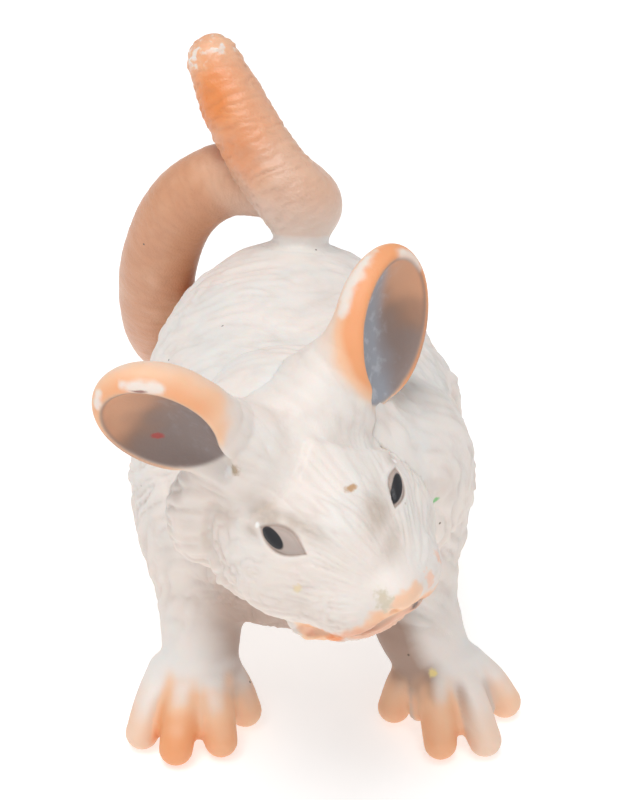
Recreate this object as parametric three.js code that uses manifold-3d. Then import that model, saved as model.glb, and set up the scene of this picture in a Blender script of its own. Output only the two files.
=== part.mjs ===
// A small moulded vinyl figure of a white mouse on four legs, its head turned to its left and its
// thick tail curled up over its back. Three mouldings, pegged and glued: torso, head and tail.
//
// Millimetres. X runs to the mouse's left, Y to its rear and Z up. The soles stand on Z = 0 and the
// origin is under the middle of the bounding box.

import * as THREE from 'three';
import { LoftGeometry } from 'three/addons/geometries/LoftGeometry.js';
import { mergeVertices } from 'three/addons/utils/BufferGeometryUtils.js';
import Module from 'manifold-3d';

const wasm = await Module();
wasm.setup();

// ---- driving dimensions ----

const SET_FORWARD = 4.5; // with SET_LEFT, puts the middle of the bounding box over the origin
const SET_LEFT = 0.4;
const JOINT_GAP = 0.3; // glue gap round every peg and between two mouldings
const ROOM = 200; // side of a box that holds the whole figure
const COLOURS = { torso: 0xeae4de, head: 0xf1ebe6, tail: 0xe8a070 };
const ROUGHNESS = 0.55;

// How finely each limb is cut: steps along it and sides round it.
const TORSO_CUT = { steps: 15, sides: 28 };
const LEG_CUT = { steps: 5, sides: 16 };
const TOE_CUT = { steps: 3, sides: 9 };
const SKULL_CUT = { steps: 11, sides: 26 };
const EAR_STEM_CUT = { steps: 2, sides: 14 };
const TAIL_CUT = { steps: 42, sides: 13 };
const DOME_RINGS = 3; // rings that round off each end of a limb
const DOME_FIRST = 0.6; // how far the first of them stands off, as a part of the ring spacing
const PIN_SIDES = 24;
const PAD_SIDES = 16;
const EAR_SIDES = 18;
const BALL_RINGS_PER_SIDE = 0.6;
const WELD = 1e-4; // points closer than this are one

// Torso: [Y, centre Z, half width, half height] of each cross-section, neck to rump.
const TORSO_SECTIONS = [
  [-11.6, 21.0, 9.6, 9.2],
  [-6.6, 20.6, 12.5, 11.4],
  [0.0, 20.4, 13.8, 13.0],
  [7.6, 20.0, 13.8, 13.6],
  [15.0, 18.9, 12.6, 13.2],
  [21.8, 17.0, 10.6, 11.2],
  [27.2, 15.2, 7.6, 8.4],
];

// Head: its centre, its turn to the mouse's left, its nod and its tilt, then cross-sections along
// its own axis: [forward, up, half width, half height].
const HEAD_CENTRE = new THREE.Vector3(-0.2, -19.4, 28.6);
const HEAD_YAW = THREE.MathUtils.degToRad(36);
const HEAD_NOD = THREE.MathUtils.degToRad(9);
const HEAD_TILT = THREE.MathUtils.degToRad(6);
const HEAD_SECTIONS = [
  [-3.6, -1.0, 8.8, 7.2],
  [-1.0, -1.0, 9.4, 7.5],
  [2.0, -1.0, 9.1, 7.3],
  [5.2, -1.4, 7.9, 6.3],
  [7.8, -1.8, 6.1, 4.9],
  [9.4, -2.0, 4.6, 3.6],
];

// Ears: a cup for each side, with the root of its stem in the head as [left, forward, up], then the
// cup's centre, its axis from root to tip, the way it opens and its half sizes along the axis,
// across it and in depth.
const EARS = [
  {
    root: [-5.6, -1.2, 3.6],
    centre: [-10.3, -22.3, 37.5],
    axis: [-0.82, -0.1, 0.57],
    opens: [-0.1, -0.92, -0.1],
    half: [5.7, 4.4, 2.6],
  },
  {
    root: [5.0, -2.4, 3.4],
    centre: [5.4, -12.2, 39.2],
    axis: [0.24, 0.6, 0.75],
    opens: [0.62, -0.7, 0.1],
    half: [6.4, 4.5, 2.6],
  },
];
// The stem's half sizes, and how far its end lies from the cup's centre, towards the root and
// behind, as parts of the cup's half length and half depth.
const EAR_STEM = { wide: 3.6, thick: 2.2, below: 0.4, behind: 0.3 };
const EAR_WALL = 1.1;
const EAR_HOLLOW_RAISE = 0.75; // how far the hollow stands off the cup, as a part of its half depth

// Legs and feet, front pair first: the leg's path as [X, Y, Z, radius across, radius fore and aft],
// the sole pad as a centre and half sizes, and the toe tips as [X, Y].
const LEGS = [
  {
    path: [[-9.0, -3.0, 19.0, 5.4, 6.0], [-9.3, -6.5, 12.0, 4.2, 4.4], [-8.9, -8.6, 6.0, 3.4, 3.4]],
    pad: [-9.3, -12.0, 2.0, 4.6, 4.6, 2.8],
    toes: [[-13.9, -14.6], [-11.0, -16.6], [-7.3, -15.6], [-5.4, -11.7]],
  },
  {
    path: [[9.0, -3.0, 19.0, 5.4, 6.0], [9.6, -6.0, 12.0, 4.2, 4.4], [9.6, -8.2, 6.0, 3.3, 3.4]],
    pad: [11.4, -11.4, 2.0, 4.8, 4.6, 2.8],
    toes: [[7.2, -11.2], [10.9, -15.9], [14.6, -15.5], [16.0, -10.8]],
  },
  {
    path: [[-8.4, 19.4, 14.0, 5.8, 7.6], [-10.0, 20.6, 8.4, 4.4, 5.6], [-10.2, 21.4, 3.2, 2.9, 3.6]],
    pad: [-10.2, 17.6, 1.9, 3.2, 5.6, 2.5],
    toes: [[-13.0, 11.6], [-11.2, 10.4], [-9.2, 10.4], [-7.6, 11.8]],
  },
  {
    path: [[8.4, 19.4, 14.0, 5.8, 7.6], [10.0, 20.6, 8.4, 4.4, 5.6], [10.2, 21.4, 3.2, 2.9, 3.6]],
    pad: [10.2, 17.6, 1.9, 3.2, 5.6, 2.5],
    toes: [[13.0, 11.6], [11.2, 10.4], [9.2, 10.4], [7.6, 11.8]],
  },
];
const TOE_RADIUS = 1.35;
const TOE_ROOT = 0.3; // where a toe leaves its pad, as a part of the way from pad to tip
const TOE_KNUCKLE = 0.5; // where its knuckle is, as a part of the way from root to tip
// Heights along a toe, in toe radii.
const TOE_HEIGHTS = { root: 1.6, knuckle: 1.7, tip: 0.85 };

// Tail: centre line as [X, Y, Z, radius], root to tip.
const TAIL_PATH = [
  [0.0, 27.0, 14.4, 2.0],
  [-0.4, 30.6, 13.0, 2.2],
  [-2.6, 35.2, 11.4, 3.5],
  [-8.6, 35.4, 10.2, 3.5],
  [-13.0, 30.6, 12.6, 3.4],
  [-14.4, 25.4, 18.4, 3.3],
  [-14.0, 21.6, 26.0, 3.2],
  [-11.0, 19.8, 32.6, 3.1],
  [-5.8, 19.6, 35.9, 3.0],
  [-0.6, 18.4, 35.8, 3.0],
  [0.6, 15.2, 33.9, 3.1],
  [-0.6, 14.2, 35.4, 3.2],
  [-2.8, 16.0, 39.0, 3.0],
  [-5.8, 18.6, 42.8, 2.8],
  [-8.0, 20.6, 45.8, 2.3],
];

// Neck peg: a round pin from inside the head, back and down into the torso.
const NECK_PEG = { radius: 3.4, from: [0.0, -16.0, 26.8], to: [0.0, -3.6, 21.6] };

// ---- geometry helpers ----

// A closed body lofted along a smooth line through the stations, round at both ends. A station is
// a point with its half width and half height. `up` is the way the half height points; without it
// the rings are carried along the line, which suits a round section on a line that turns.
function limb(stations, { steps, sides }, up) {
  const line = new THREE.CatmullRomCurve3(stations.map((station) => station.at));
  const sizes = new THREE.CatmullRomCurve3(
    stations.map(({ wide, high }) => new THREE.Vector3(wide, high, 0)));
  const carried = line.computeFrenetFrames(steps, false);
  const rings = [];
  const addRing = (step, angle, side) => {
    const along = carried.tangents[step];
    const across = up ? new THREE.Vector3().crossVectors(up, along).normalize() : carried.normals[step];
    const upright = new THREE.Vector3().crossVectors(along, across);
    const size = sizes.getPoint(line.getUtoTmapping(step / steps));
    const middle = line.getPointAt(step / steps)
      .addScaledVector(along, side * Math.sin(angle) * Math.min(size.x, size.y));
    rings.push(circle(sides, (cosine, sine) => middle.clone()
      .addScaledVector(across, cosine * size.x * Math.cos(angle))
      .addScaledVector(upright, sine * size.y * Math.cos(angle))));
  };
  const dome = Array.from({ length: DOME_RINGS }, (_, ring) => (
    ((ring + DOME_FIRST) / DOME_RINGS) * (Math.PI / 2)));
  for (const angle of [...dome].reverse()) addRing(0, angle, -1);
  for (let step = 0; step <= steps; step++) addRing(step, 0, 0);
  for (const angle of dome) addRing(steps, angle, 1);
  return solid(new LoftGeometry(rings, { capStart: true, capEnd: true }));
}

function circle(sides, point) {
  return Array.from({ length: sides }, (_, side) => {
    const angle = (side / sides) * Math.PI * 2;
    return point(Math.cos(angle), Math.sin(angle));
  });
}

// A closed three.js geometry as a manifold solid.
function solid(geometry) {
  const plain = new THREE.BufferGeometry().copy(geometry);
  plain.deleteAttribute('normal');
  plain.deleteAttribute('uv');
  const merged = mergeVertices(plain, WELD);
  return new wasm.Manifold(new wasm.Mesh({
    numProp: 3,
    vertProperties: new Float32Array(merged.attributes.position.array),
    triVerts: new Uint32Array(merged.index.array),
  }));
}

// An ellipsoid by its centre and half sizes, turned into the frame of three unit vectors.
function ellipsoid(centre, half, frame, sides) {
  const geometry = new THREE.SphereGeometry(1, sides, Math.round(sides * BALL_RINGS_PER_SIDE));
  const place = new THREE.Matrix4().makeBasis(
    frame[0].clone().multiplyScalar(half[0]),
    frame[1].clone().multiplyScalar(half[1]),
    frame[2].clone().multiplyScalar(half[2]));
  place.setPosition(centre);
  return solid(geometry.applyMatrix4(place));
}

const UPRIGHT_FRAME = [new THREE.Vector3(1, 0, 0), new THREE.Vector3(0, 1, 0), new THREE.Vector3(0, 0, 1)];
const UP = UPRIGHT_FRAME[2];
const REAR = UPRIGHT_FRAME[1];

// A round pin; three.js cylinders stand along Y.
function pin(from, to, radius) {
  const start = new THREE.Vector3(...from);
  const span = new THREE.Vector3(...to).sub(start);
  const geometry = new THREE.CylinderGeometry(radius, radius, span.length(), PIN_SIDES);
  geometry.applyQuaternion(new THREE.Quaternion().setFromUnitVectors(REAR, span.clone().normalize()));
  const middle = start.addScaledVector(span, 0.5);
  return solid(geometry.translate(middle.x, middle.y, middle.z));
}

// What a body keeps above the ground, so that its soles are flat.
function aboveGround(body) {
  const room = new THREE.BoxGeometry(ROOM, ROOM, ROOM).translate(0, 0, ROOM / 2);
  return body.intersect(solid(room));
}

function meshOf(name, body, colour) {
  const { vertProperties, triVerts } = body.getMesh();
  const geometry = new THREE.BufferGeometry();
  geometry.setAttribute('position', new THREE.BufferAttribute(new Float32Array(vertProperties), 3));
  geometry.setIndex(new THREE.BufferAttribute(new Uint32Array(triVerts), 1));
  const flat = geometry.toNonIndexed();
  flat.computeVertexNormals();
  const mesh = new THREE.Mesh(flat, new THREE.MeshStandardMaterial({ color: colour, roughness: ROUGHNESS }));
  mesh.name = name;
  return mesh;
}

// ---- torso ----

function torsoBody() {
  const stations = TORSO_SECTIONS.map(([y, z, wide, high]) => ({ at: new THREE.Vector3(0, y, z), wide, high }));
  return limb(stations, TORSO_CUT, UP);
}

function leg({ path, pad, toes }) {
  const stations = path.map(([x, y, z, wide, high]) => ({ at: new THREE.Vector3(x, y, z), wide, high }));
  let body = limb(stations, LEG_CUT, REAR);
  const padCentre = new THREE.Vector3(...pad.slice(0, 3));
  body = body.add(ellipsoid(padCentre, pad.slice(3), UPRIGHT_FRAME, PAD_SIDES));
  for (const [x, y] of toes) {
    const tip = new THREE.Vector3(x, y, TOE_RADIUS * TOE_HEIGHTS.tip);
    const root = padCentre.clone().lerp(tip, TOE_ROOT).setZ(TOE_RADIUS * TOE_HEIGHTS.root);
    const knuckle = root.clone().lerp(tip, TOE_KNUCKLE).setZ(TOE_RADIUS * TOE_HEIGHTS.knuckle);
    const toe = [root, knuckle, tip].map((at) => ({ at, wide: TOE_RADIUS, high: TOE_RADIUS }));
    body = body.add(limb(toe, TOE_CUT, UP));
  }
  return body;
}

// ---- head ----

const headFrame = (() => {
  const forward = new THREE.Vector3(
    Math.sin(HEAD_YAW) * Math.cos(HEAD_NOD), -Math.cos(HEAD_YAW) * Math.cos(HEAD_NOD), -Math.sin(HEAD_NOD));
  const level = new THREE.Vector3(Math.cos(HEAD_YAW), Math.sin(HEAD_YAW), 0);
  const raised = new THREE.Vector3().crossVectors(forward, level);
  const left = level.clone().applyAxisAngle(forward, HEAD_TILT);
  const up = raised.clone().applyAxisAngle(forward, HEAD_TILT);
  return { left, forward, up };
})();

const headPoint = (left, forward, up) => HEAD_CENTRE.clone()
  .addScaledVector(headFrame.left, left)
  .addScaledVector(headFrame.forward, forward)
  .addScaledVector(headFrame.up, up);

function skull(grow) {
  const stations = HEAD_SECTIONS.map(([forward, up, wide, high]) => ({
    at: headPoint(0, forward, up), wide: wide + grow, high: high + grow,
  }));
  return limb(stations, SKULL_CUT, headFrame.up);
}

function ear({ root, centre, axis, opens, half }) {
  const along = new THREE.Vector3(...axis).normalize();
  const depth = new THREE.Vector3(...opens);
  depth.addScaledVector(along, -depth.dot(along)).normalize();
  const across = new THREE.Vector3().crossVectors(depth, along);
  const frame = [along, across, depth];
  const middle = new THREE.Vector3(...centre);
  const stemEnd = middle.clone()
    .addScaledVector(along, -half[0] * EAR_STEM.below)
    .addScaledVector(depth, -half[2] * EAR_STEM.behind);
  const stem = [headPoint(...root), stemEnd].map((at) => ({ at, wide: EAR_STEM.wide, high: EAR_STEM.thick }));
  const hollow = middle.clone().addScaledVector(depth, half[2] * EAR_HOLLOW_RAISE);
  return ellipsoid(middle, half, frame, EAR_SIDES)
    .add(limb(stem, EAR_STEM_CUT, depth))
    .subtract(ellipsoid(hollow, half.map((size) => size - EAR_WALL), frame, EAR_SIDES));
}

// ---- tail ----

function tailBody(grow) {
  const stations = TAIL_PATH.map(([x, y, z, radius]) => (
    { at: new THREE.Vector3(x, y, z), wide: radius + grow, high: radius + grow }));
  return limb(stations, TAIL_CUT);
}

// ---- assembly ----

const neckPeg = (grow) => {
  const { from, to, radius } = NECK_PEG;
  return pin(from, to, radius + grow);
};

function buildTorso() {
  let body = torsoBody();
  for (const one of LEGS) body = body.add(leg(one));
  body = aboveGround(body);
  return body.subtract(skull(JOINT_GAP)).subtract(neckPeg(JOINT_GAP)).subtract(tailBody(JOINT_GAP));
}

function buildHead() {
  let body = skull(0).add(neckPeg(0));
  for (const one of EARS) body = body.add(ear(one));
  return body;
}

const figure = new THREE.Group();
figure.add(meshOf('torso_with_legs', buildTorso(), COLOURS.torso));
figure.add(meshOf('head_with_ears', buildHead(), COLOURS.head));
figure.add(meshOf('tail', tailBody(0), COLOURS.tail));

figure.position.set(SET_LEFT, -SET_FORWARD, 0);

export default figure;
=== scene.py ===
"""Looks of the toy mouse figure: three soft vinyl mouldings, sculpted as distance fields in mm.

Each piece is modelled in clay (a grid of distances), turned into a mesh, given its fur, wrinkles
and eyelids by moving its points, and painted with masks kept on its points.
"""
import itertools
import math

import bpy
import numpy as np
import openvdb
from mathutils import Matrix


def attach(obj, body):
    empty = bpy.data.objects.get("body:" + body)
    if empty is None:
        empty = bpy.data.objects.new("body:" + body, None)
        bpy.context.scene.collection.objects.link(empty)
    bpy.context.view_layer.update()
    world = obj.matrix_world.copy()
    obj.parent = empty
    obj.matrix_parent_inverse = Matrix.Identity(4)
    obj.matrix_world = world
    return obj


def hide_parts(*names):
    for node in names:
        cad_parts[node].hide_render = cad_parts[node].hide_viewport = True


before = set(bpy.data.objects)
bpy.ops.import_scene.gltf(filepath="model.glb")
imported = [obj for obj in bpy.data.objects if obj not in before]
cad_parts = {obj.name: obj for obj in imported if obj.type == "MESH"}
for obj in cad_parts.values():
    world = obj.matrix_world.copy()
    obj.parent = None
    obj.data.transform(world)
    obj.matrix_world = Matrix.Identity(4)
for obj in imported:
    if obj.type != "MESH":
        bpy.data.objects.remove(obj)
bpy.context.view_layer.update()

MM = 0.001
# The sculpt's own origin lies this far (mm) from the frame's, as in the CAD.
SET_LEFT, SET_FORWARD = 0.4, 4.5
SHIFT = np.array([SET_LEFT, -SET_FORWARD, 0.0])

# ---- noise ----

LATTICE = np.random.RandomState(11).permutation(256)
GRADIENTS = np.random.RandomState(12).normal(size=(256, 3))
GRADIENTS /= np.linalg.norm(GRADIENTS, axis=1)[:, None]


def noise(points, seed=0):
    """Smooth gradient noise, about -0.7 to 0.7, one cycle per unit."""
    cell = np.floor(points).astype(np.int64)
    part = points - cell
    fade = part ** 3 * (part * (part * 6 - 15) + 10)
    total = np.zeros(len(points))
    for corner in itertools.product((0, 1), repeat=3):
        at = cell + corner
        picked = LATTICE[(at[:, 0] + seed * 37) & 255]
        picked = LATTICE[(picked + at[:, 1]) & 255]
        picked = LATTICE[(picked + at[:, 2]) & 255]
        weight = np.prod(np.where(corner, fade, 1 - fade), axis=1)
        total += weight * np.einsum("ij,ij->i", GRADIENTS[picked], part - corner)
    return total


def ramp(value, low, high):
    part = np.clip((value - low) / (high - low), 0.0, 1.0)
    return part * part * (3 - 2 * part)


# ---- clay ----

WIDEST_FILLET = 8.0

class Clay:
    """A block of clay: at each grid point, the distance in mm to its surface."""

    def __init__(self, low, high, voxel):
        self.voxel = voxel
        self.low = np.array(low, float)
        counts = np.ceil((np.array(high) - self.low) / voxel).astype(int) + 1
        self.axes = [self.low[k] + voxel * np.arange(counts[k]) for k in range(3)]
        self.field = np.full(counts, 50.0, np.float32)

    def window(self, low, high):
        cuts = []
        for k in range(3):
            first, last = np.searchsorted(self.axes[k], [low[k], high[k]])
            cuts.append(slice(max(first - 1, 0), last + 1))
        grid = np.meshgrid(*(self.axes[k][cuts[k]].astype(np.float32) for k in range(3)),
                           indexing="ij", sparse=True)
        return tuple(cuts), grid

    def add(self, shape, blend=0.6):
        """Join a shape on, with a fillet; blend is a width in mm, or a function of the place."""
        margin = WIDEST_FILLET if callable(blend) else blend * 2
        cuts, grid = self.window(shape.low - margin, shape.high + margin)
        width = blend(*grid) if callable(blend) else blend
        self.field[cuts] = smooth_min(self.field[cuts], shape.distance(*grid), width)

    def cut(self, shape, blend=0.6):
        cuts, grid = self.window(shape.low - blend * 2, shape.high + blend * 2)
        self.field[cuts] = -smooth_min(-self.field[cuts], shape.distance(*grid), blend)

    def mesh(self):
        """The surface as points (mm) and quads."""
        grid = openvdb.FloatGrid(3.0)
        grid.copyFromArray(np.clip(self.field, -3.0, 3.0).astype(np.float32))
        points, quads = grid.convertToQuads()
        return points.astype(float) * self.voxel + self.low, quads


def smooth_min(a, b, blend):
    part = np.clip(0.5 + 0.5 * (b - a) / blend, 0.0, 1.0)
    return b + (a - b) * part - blend * part * (1 - part)


class Shape:
    """A distance function and the box (mm) outside which it needs no clay."""

    def __init__(self, low, high, distance):
        self.low, self.high = np.array(low, float), np.array(high, float)
        self.distance = distance


def unit(vector):
    vector = np.array(vector, float)
    return vector / np.linalg.norm(vector)


def ellipsoid(centre, half, axes=np.eye(3)):
    centre, half, axes = np.array(centre, float), np.array(half, float), np.array(axes, float)
    reach = np.abs(axes.T * half).sum(axis=1)

    def distance(x, y, z):
        near, far = 0.0, 0.0
        for axis, size in zip(axes, half):
            along = (x - centre[0]) * axis[0] + (y - centre[1]) * axis[1] + (z - centre[2]) * axis[2]
            near = near + (along / size) ** 2
            far = far + (along / size ** 2) ** 2
        near = np.sqrt(near)
        return near * (near - 1.0) / np.sqrt(far + 1e-9)

    return Shape(centre - reach, centre + reach, distance)


def curve(points, per_span=6):
    """A smooth line through the rows of points (Catmull-Rom); extra columns follow along."""
    points = np.array(points, float)
    padded = np.vstack([2 * points[0] - points[1], points, 2 * points[-1] - points[-2]])
    out = []
    for i in range(1, len(padded) - 2):
        a, b, c, d = padded[i - 1:i + 3]
        for t in np.arange(per_span) / per_span:
            out.append(0.5 * (2 * b + (c - a) * t + (2 * a - 5 * b + 4 * c - d) * t ** 2
                              + (3 * b - a - 3 * c + d) * t ** 3))
    out.append(points[-1])
    return np.array(out)


def tube(stations, per_span=6, flatten=None):
    """A round limb along stations of [x, y, z, radius]; flatten squashes it along Z by a factor."""
    line = curve(stations, per_span)
    squash = 1.0 if flatten is None else flatten
    line = line * np.array([1, 1, 1 / squash, 1])
    radius = line[:, 3].max()
    low, high = line[:, :3].min(axis=0) - radius, line[:, :3].max(axis=0) + radius

    def distance(x, y, z):
        z = z / squash
        best = None
        for start, end in zip(line[:-1], line[1:]):
            span = end[:3] - start[:3]
            part = ((x - start[0]) * span[0] + (y - start[1]) * span[1] + (z - start[2]) * span[2])
            part = np.clip(part / (span @ span), 0.0, 1.0)
            off = np.sqrt((x - start[0] - part * span[0]) ** 2 + (y - start[1] - part * span[1]) ** 2
                          + (z - start[2] - part * span[2]) ** 2)
            off = off - (start[3] + part * (end[3] - start[3]))
            best = off if best is None else np.minimum(best, off)
        return best * min(squash, 1.0)

    scale = np.array([1, 1, squash])
    return Shape(low * scale, high * scale, distance)


def loft(sections, caps, low, high, narrow_top=0.0):
    """A body along Y through sections [along, up, half width, half height, lean to the left],
    closed by round caps of the two given lengths."""
    rows = curve(sections, 12)
    first, last = rows[0][0], rows[-1][0]

    def distance(x, along, up):
        inside = np.clip(along, first, last)
        side = x - np.interp(inside, rows[:, 0], rows[:, 4])
        middle = np.interp(inside, rows[:, 0], rows[:, 1])
        wide = np.interp(inside, rows[:, 0], rows[:, 2])
        high_ = np.interp(inside, rows[:, 0], rows[:, 3])
        beyond = np.maximum((first - along) / caps[0], 0) + np.maximum((along - last) / caps[1], 0)
        rise = (up - middle) / high_
        wide = wide * (1 - narrow_top * np.clip(rise, -1, 1))
        ring = np.sqrt((side / wide) ** 2 + rise ** 2 + beyond ** 2)
        return (ring - 1.0) * np.minimum(wide, high_)

    return Shape(low, high, distance)


# ---- the figure's skeleton (mm) ----

TORSO_SECTIONS = [
    [-11.6, 21.0, 9.6, 9.2, -0.4], [-6.6, 20.6, 12.4, 11.4, -0.8], [0.0, 20.4, 13.6, 13.0, -1.0],
    [7.6, 20.0, 13.6, 13.8, -1.2], [15.0, 18.9, 12.1, 13.2, -1.5], [21.8, 17.0, 10.3, 11.2, -0.7],
    [27.2, 15.2, 7.6, 8.4, 0.0],
]
TORSO_CAPS = (5.0, 7.6)
# Round masses of the torso as (centre, half sizes, blend).
NECK = [([-0.5, -12.0, 29.0], [8.2, 6.5, 7.2], 3.5), ([6.2, -9.0, 24.8], [7.0, 7.0, 7.2], 3.0)]
CHEST = ([-1.0, -8.4, 14.3], [8.6, 5.5, 5.5], 2.0)
SHOULDERS = [([-9.4, -4.4, 17.2], [4.2, 6.2, 7.4]), ([8.3, -4.4, 17.2], [4.2, 6.2, 7.4])]
HAUNCHES = [([-8.4, 19.0, 13.4], [5.0, 8.4, 8.0]), ([7.1, 19.0, 13.2], [4.8, 8.2, 7.6])]
# Each foot: the leg's line [x, y, z, radius], then its toes as knuckle [x, y, z] and tip [x, y].
FRONT_FEET = [
    {
        "paint": [0.34, 1.0, 0.75, 0.5],
        "leg": [[-9.2, -3.0, 19.0, 5.2], [-9.3, -6.2, 12.0, 3.9], [-9.1, -8.4, 7.6, 3.4], [-9.3, -10.6, 4.4, 3.0]],
        "toes": [([-12.0, -10.4, 4.8], [-13.9, -14.6]), ([-10.2, -11.6, 5.0], [-11.0, -16.6]),
                 ([-8.4, -11.6, 5.0], [-7.3, -15.6]), ([-7.2, -10.2, 4.6], [-5.4, -11.7])],
    },
    {
        "paint": [0.6, 0.75, 0.3, 0.4],
        "leg": [[8.2, -3.0, 19.0, 4.9], [8.4, -5.6, 12.0, 4.1], [9.2, -7.8, 7.8, 3.7], [11.0, -9.6, 4.6, 3.0]],
        "toes": [([9.0, -9.6, 4.6], [7.2, -11.2]), ([10.4, -10.8, 5.0], [10.9, -15.9]),
                 ([12.2, -10.8, 5.0], [14.6, -15.5]), ([13.4, -9.2, 4.6], [16.6, -10.5])],
    },
]
REAR_FEET = [
    {
        "paint": [0.7, 0.9, 0.8, 0.6],
        "leg": [[side * 9.4 - 0.5, 19.4, 12.5, 5.4], [side * 10.4, 21.6, 8.0, 4.2], [side * 10.2, 22.2, 4.4, 3.0],
                [side * 10.2, 18.6, 3.2, 2.9]],
        "toes": [([side * 11.2 - 0.6, 15.6, 3.6], [side * 12.3 - 0.8, 11.4]),
                 ([side * 10.6 - 0.6, 15.0, 3.9], [side * 10.8 - 0.8, 10.2]),
                 ([side * 9.8 - 0.6, 15.0, 3.9], [side * 9.2 - 0.8, 10.2]),
                 ([side * 9.0 - 0.6, 15.6, 3.6], [side * 7.6 - 0.8, 11.6])],
    }
    for side in (-1, 1)
]
TOE_RADIUS = 1.4
# The coat is combed round a line at this height (mm), on a body of about this radius.
SPINE_CENTRE, SPINE_GIRTH = 17.0, 12.0

HEAD_CENTRE = np.array([-0.2, -19.4, 28.6])
HEAD_YAW, HEAD_NOD, HEAD_TILT = math.radians(36), math.radians(9), math.radians(6)
EARS = [
    {
        "root": [-3.7, -3.0, 4.3], "stem": 3.5, "lean": 1.0, "inside": [0.7, 0.75], "centre": [-10.3, -22.3, 37.5], "axis": [-0.82, -0.1, 0.57],
        "opens": [-0.1, -0.92, -0.1], "half": [5.7, 4.4, 2.6], "outward": 1, "paint": 0.6, "cool": 0.2, "reach": 0.95,
        "worn": [[[4.8, -1.8, 1.2, 0.6], [2.6, -3.2, 1.6, 0.6]], [[5.5, 0.4, 0.7, 0.5], [5.2, 1.2, 1.0, 0.5]]],
    },
    {
        "root": [3.6, -3.8, 3.8], "stem": 4.6, "lean": 1.9, "inside": [0.25, 0.75], "centre": [5.4, -12.2, 39.2], "axis": [0.24, 0.6, 0.75],
        "opens": [0.62, -0.7, 0.1], "half": [6.4, 4.5, 2.6], "outward": -1, "paint": 1.6, "cool": 1.0, "reach": 1.3,
        "worn": [[[0.0, -4.7, -0.1, 0.8], [5.0, -3.2, 0.0, 0.8]], [[5.6, -0.7, 1.2, 0.9], [5.4, 1.0, 1.4, 0.9]]],
    },
]
TAIL_PATH = [
    [0.0, 27.0, 14.4, 2.0], [-0.4, 30.6, 13.0, 2.2], [-2.6, 35.2, 11.4, 3.5], [-8.4, 35.4, 10.4, 3.5],
    [-12.8, 30.6, 12.8, 3.5], [-14.1, 25.4, 18.4, 3.5], [-13.7, 21.6, 26.0, 3.5], [-11.4, 19.8, 32.6, 3.4],
    [-7.2, 19.2, 35.9, 3.3], [-2.2, 17.6, 36.0, 3.2], [-0.5, 15.0, 35.6, 3.4], [-1.4, 14.0, 36.9, 3.4],
    [-4.0, 15.9, 39.7, 3.15], [-6.5, 18.6, 43.4, 2.95], [-8.2, 20.6, 46.5, 2.4],
]


def head_axes():
    forward = np.array([math.sin(HEAD_YAW) * math.cos(HEAD_NOD), -math.cos(HEAD_YAW) * math.cos(HEAD_NOD),
                        -math.sin(HEAD_NOD)])
    level = np.array([math.cos(HEAD_YAW), math.sin(HEAD_YAW), 0.0])
    raised = -np.cross(level, forward)
    raised *= np.sign(raised[2])
    left = level * math.cos(HEAD_TILT) + raised * math.sin(HEAD_TILT)
    up = raised * math.cos(HEAD_TILT) - level * math.sin(HEAD_TILT)
    return left, forward, up


HEAD_LEFT, HEAD_FORWARD, HEAD_UP = head_axes()
HEAD_AXES = np.array([HEAD_LEFT, HEAD_FORWARD, HEAD_UP])


def head_point(left, forward, up):
    return HEAD_CENTRE + HEAD_LEFT * left + HEAD_FORWARD * forward + HEAD_UP * up


def in_head_frame(points):
    """Points (mm) as rows of [left, forward, up]."""
    return (points - HEAD_CENTRE) @ HEAD_AXES.T


# ---- sculpting the pieces ----

# Masses of the head as (centre, half sizes, blend), each as [left, forward, up] in the head's frame.
FACE_MASSES = [
    ([0.3, -2.8, 0.2], [6.9, 7.8, 6.9], 0.4),      # cranium
    ([-3.7, 2.2, -2.0], [4.6, 6.0, 4.4], 2.5),     # right cheek
    ([4.1, 2.2, -2.0], [4.8, 6.0, 4.4], 2.5),      # left cheek
    ([0.0, 3.6, 0.6], [6.2, 6.2, 3.9], 2.0),       # brow and bridge of the nose
    ([0.0, 7.0, -2.1], [5.2, 4.8, 3.4], 2.5),      # muzzle
    ([-2.4, 9.0, -2.0], [2.7, 2.7, 2.2], 1.6),     # right whisker pad
    ([2.4, 9.2, -1.5], [2.7, 2.5, 2.2], 1.6),      # left whisker pad
    ([0.0, 11.0, -0.4], [1.8, 1.8, 1.3], 1.2),     # nose
    ([0.0, 6.0, -5.1], [5.2, 4.4, 2.4], 0.8),      # lower jaw
    ([-4.3, 6.2, -5.7], [1.4, 1.7, 1.0], 0.5),     # corner of the jaw
]
RUFF_MASSES = [
    ([-1.5, -4.4, -1.7], [8.0, 4.0, 7.0], 0.12),   # collar of fur behind the cheeks
    ([-2.8, -0.2, -4.3], [5.2, 4.4, 3.5], 0.6),    # fur below the right cheek
]
HEAD_MASSES = FACE_MASSES + RUFF_MASSES
# The mouth line of the left side, as [left, forward, up, radius]; the right side mirrors it.
MOUTH = [[0.0, 12.5, -1.9, 0.28], [1.6, 12.0, -2.4, 0.3], [3.0, 11.2, -3.1, 0.3], [4.0, 10.2, -4.0, 0.28],
         [4.5, 9.0, -4.9, 0.28], [4.9, 7.6, -5.2, 0.24]]
NOSTRIL = ([0.9, 12.5, -1.1], [0.34, 0.5, 0.3])
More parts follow.
